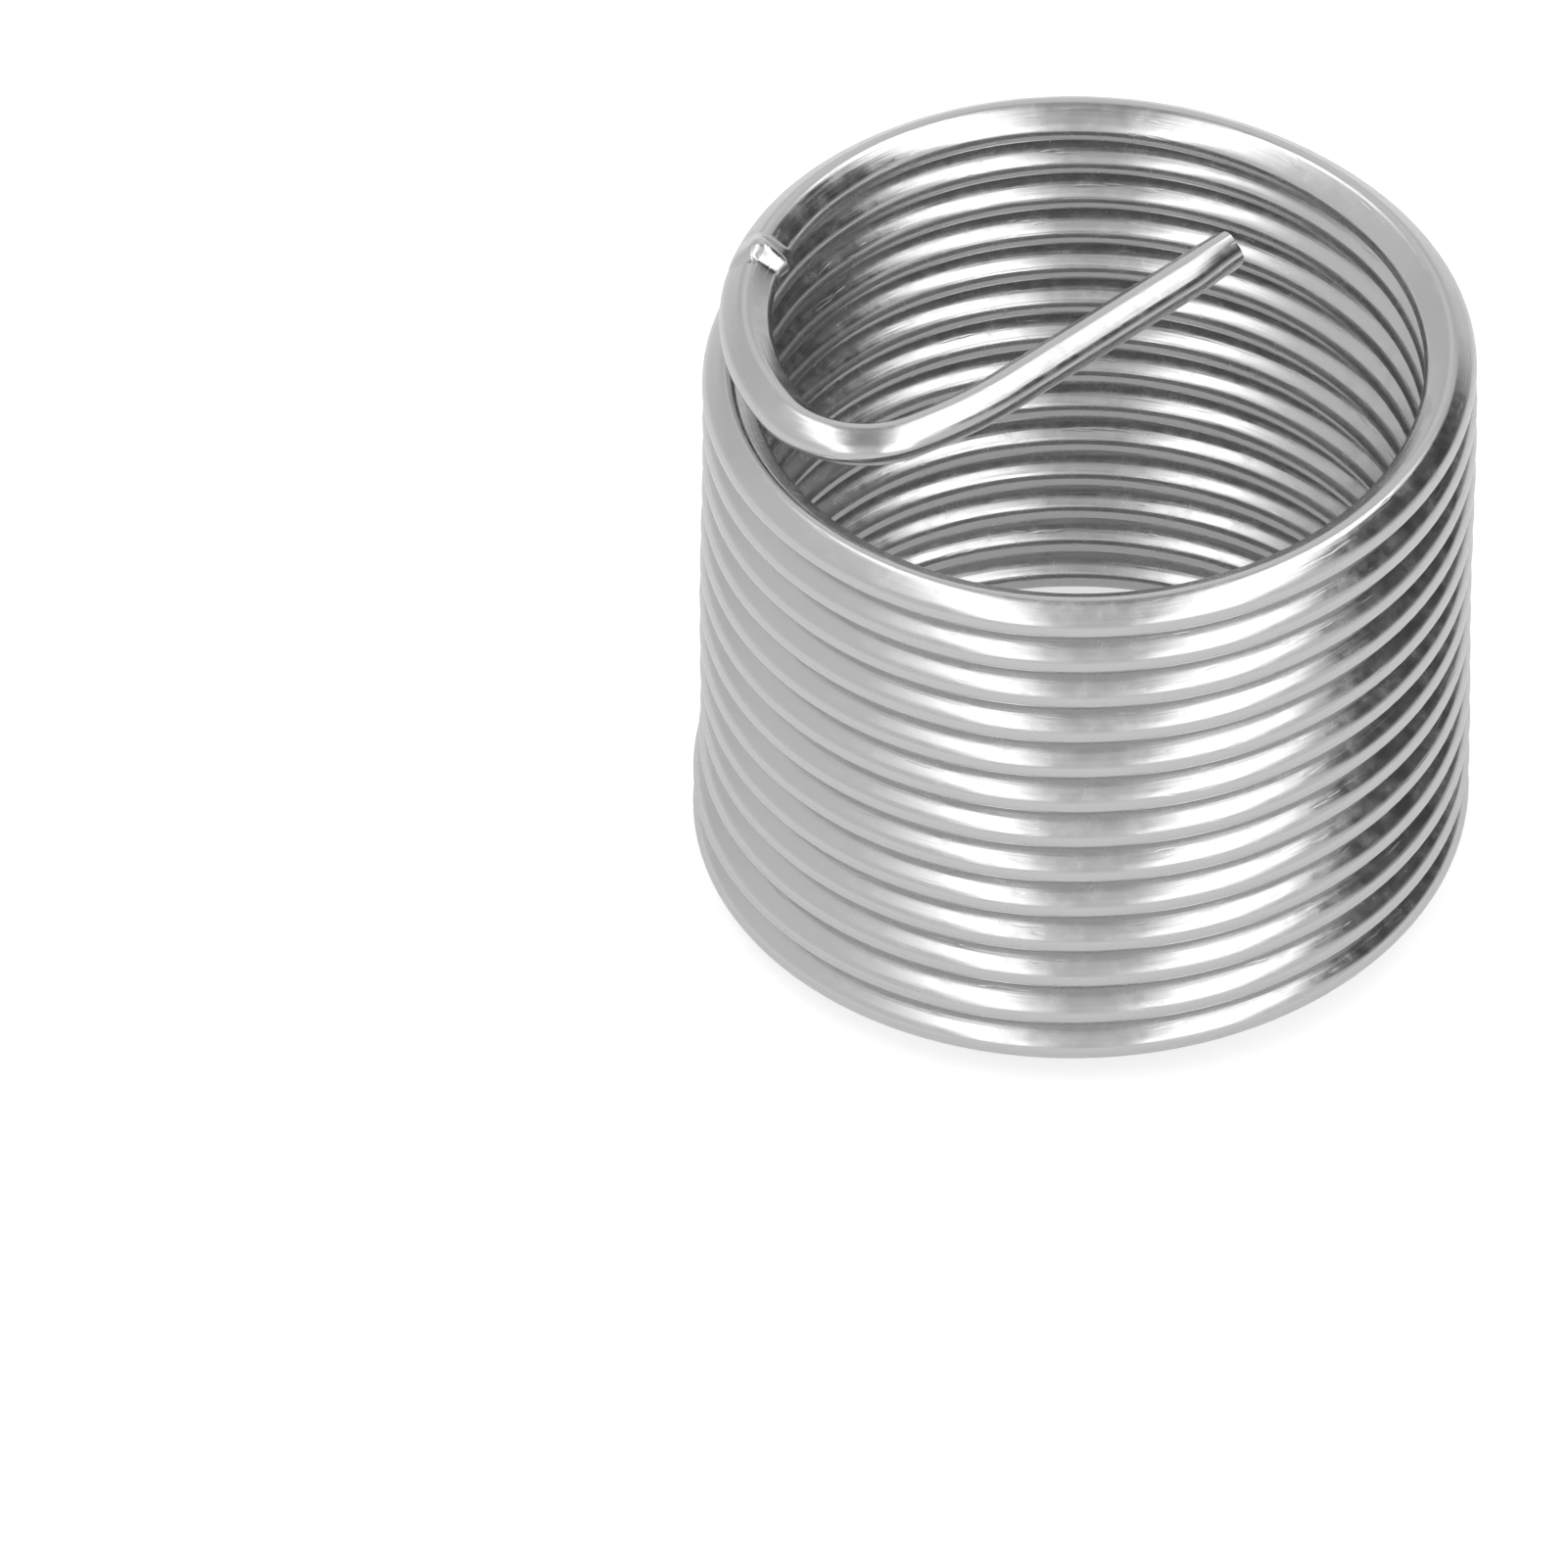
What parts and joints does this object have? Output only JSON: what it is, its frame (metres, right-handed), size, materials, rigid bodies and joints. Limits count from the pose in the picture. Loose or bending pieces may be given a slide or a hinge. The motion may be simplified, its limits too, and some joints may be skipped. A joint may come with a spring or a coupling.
{
  "type": "wire thread insert",
  "caption": "Free-running helical wire thread insert: diamond wire coiled right-hand into a threaded sleeve, with a notched driving tang bent across the bore at one end.",
  "frame": {"origin": "on the coil's axis, level with the lowest point of the cut end, which it stands on", "axes": "+Z along the coil's axis from the cut end to the tang; the tang lies near the diagonal between +X and +Y"},
  "size_m": [0.0246, 0.0246, 0.0218],
  "materials": {
    "stainless_wire": "bright drawn stainless steel wire, lightly scored along its length"
  },
  "bodies": {
    "root": {"wire_coil": "stainless_wire"}
  },
  "joints": []
}
